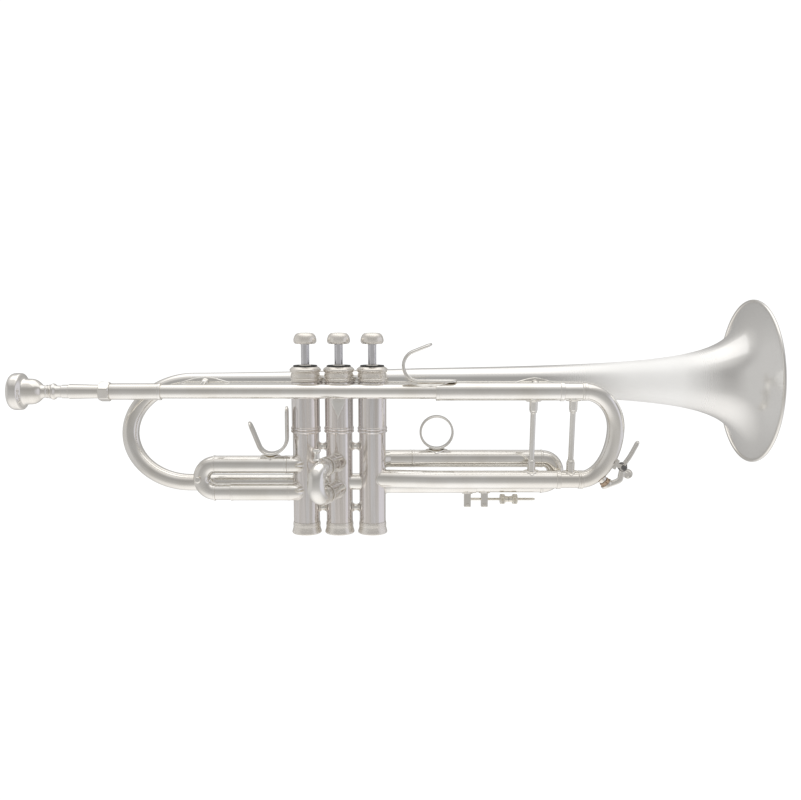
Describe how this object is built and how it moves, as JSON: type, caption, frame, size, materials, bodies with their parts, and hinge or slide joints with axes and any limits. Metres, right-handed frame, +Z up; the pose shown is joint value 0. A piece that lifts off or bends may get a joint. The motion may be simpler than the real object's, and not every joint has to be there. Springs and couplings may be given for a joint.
{
  "type": "piston trumpet",
  "caption": "Silver plated B flat piston trumpet with mouthpiece, sliding tuning and valve slides, sprung pistons, water key, finger hook, ring and thumb saddle.",
  "frame": {"origin": "on the second valve's axis at mid casing, where the left hand grips the valve block", "axes": "+X from the mouthpiece to the bell along the leadpipe, +Y from the leadpipe side to the bell side, +Z up through the finger buttons"},
  "size_m": [0.55, 0.1305, 0.1755],
  "materials": {
    "bell_silver": "silver plated brass, satin spun finish",
    "rim_silver": "silver plated brass, polished",
    "tube_silver": "silver plated brass, polished",
    "fitting_silver": "silver plated brass, polished",
    "casing_silver": "silver plated brass, polished",
    "mouthpiece_silver": "silver plated brass, polished",
    "nickel_trim": "nickel plated brass, polished",
    "stem_metal": "plated brass, fine turned",
    "piston_monel": "lapped nickel alloy",
    "spring_steel": "blued spring wire",
    "stop_brass": "lacquered brass",
    "felt": "pressed wool felt",
    "cork": "natural cork",
    "pearl": "mother of pearl disc, polished"
  },
  "bodies": {
    "trumpet_body": {"bell_rim_wire": "rim_silver", "bell_flare": "bell_silver", "bell_stem": "bell_silver", "bell_bow": "bell_silver", "leadpipe": "tube_silver", "mouthpiece_receiver": "tube_silver", "tuning_slide_sleeves": "tube_silver", "tuning_elbow": "tube_silver", "body_brace": "fitting_silver", "valve_casing_1": "casing_silver", "valve_casing_2": "casing_silver", "valve_casing_3": "casing_silver", "top_caps": "nickel_trim", "bottom_caps": "nickel_trim", "cap_felts": "felt", "valve_guides": "stop_brass", "valve_spring_1": "spring_steel", "valve_spring_2": "spring_steel", "valve_spring_3": "spring_steel", "valve_knuckles": "tube_silver", "casing_bridges": "fitting_silver", "first_slide_fixed_tubes": "tube_silver", "second_slide_sleeves": "tube_silver", "third_slide_fixed_tubes": "tube_silver", "finger_hook": "fitting_silver", "stop_post_fixed": "fitting_silver", "stop_rod": "stop_brass", "stop_nuts": "stop_brass", "tube_braces": "fitting_silver"},
    "mouthpiece": {"mouthpiece": "mouthpiece_silver"},
    "tuning_slide": {"tuning_slide_bow": "tube_silver", "tuning_slide_legs": "tube_silver", "slide_brace": "fitting_silver", "water_key_saddle": "fitting_silver", "water_key_screw": "spring_steel", "water_key_spring": "spring_steel"},
    "water_key": {"water_key_lever": "fitting_silver", "water_key_cork": "cork"},
    "first_slide": {"first_slide_bow": "tube_silver", "first_slide_legs": "tube_silver", "first_slide_knob": "fitting_silver", "thumb_saddle": "fitting_silver"},
    "second_slide": {"second_slide_bow": "tube_silver", "second_slide_knob": "fitting_silver"},
    "third_slide": {"third_slide_bow": "tube_silver", "third_slide_legs": "tube_silver", "finger_ring": "fitting_silver", "stop_post_moving": "fitting_silver"},
    "valve_1": {"piston_1": "piston_monel", "valve_stem_1": "stem_metal", "finger_button_1": "nickel_trim", "button_pearl_1": "pearl"},
    "valve_2": {"piston_2": "piston_monel", "valve_stem_2": "stem_metal", "finger_button_2": "nickel_trim", "button_pearl_2": "pearl"},
    "valve_3": {"piston_3": "piston_monel", "valve_stem_3": "stem_metal", "finger_button_3": "nickel_trim", "button_pearl_3": "pearl"}
  },
  "joints": [
    {"name": "mouthpiece_pull", "type": "slide", "parent": "trumpet_body", "child": "mouthpiece", "axis": [-1, 0, 0], "range_m": [0, 0.03]},
    {"name": "tuning_slide_pull", "type": "slide", "parent": "trumpet_body", "child": "tuning_slide", "axis": [1, 0, 0], "range_m": [0, 0.035]},
    {"name": "first_slide_pull", "type": "slide", "parent": "trumpet_body", "child": "first_slide", "axis": [-1, 0, 0], "range_m": [0, 0.02]},
    {"name": "second_slide_pull", "type": "slide", "parent": "trumpet_body", "child": "second_slide", "axis": [-0.3338, -0.9426, 0], "range_m": [0, 0.012]},
    {"name": "third_slide_pull", "type": "slide", "parent": "trumpet_body", "child": "third_slide", "axis": [1, 0, 0], "range_m": [0, 0.009]},
    {"name": "water_key_hinge", "type": "hinge", "parent": "tuning_slide", "child": "water_key", "pos_m": [0.2102, -0.0086, -0.009], "axis": [0, -1, 0], "range_deg": [0, 18], "stiffness_Nm_per_rad": 0.02, "springref_deg": -28.65},
    {"name": "valve_1_press", "type": "slide", "parent": "trumpet_body", "child": "valve_1", "axis": [0, 0, -1], "range_m": [0, 0.015], "stiffness_N_per_m": 100, "springref_m": -0.03, "deforming": ["valve_spring_1"]},
    {"name": "valve_2_press", "type": "slide", "parent": "trumpet_body", "child": "valve_2", "axis": [0, 0, -1], "range_m": [0, 0.015], "stiffness_N_per_m": 100, "springref_m": -0.03, "deforming": ["valve_spring_2"]},
    {"name": "valve_3_press", "type": "slide", "parent": "trumpet_body", "child": "valve_3", "axis": [0, 0, -1], "range_m": [0, 0.015], "stiffness_N_per_m": 100, "springref_m": -0.03, "deforming": ["valve_spring_3"]}
  ]
}
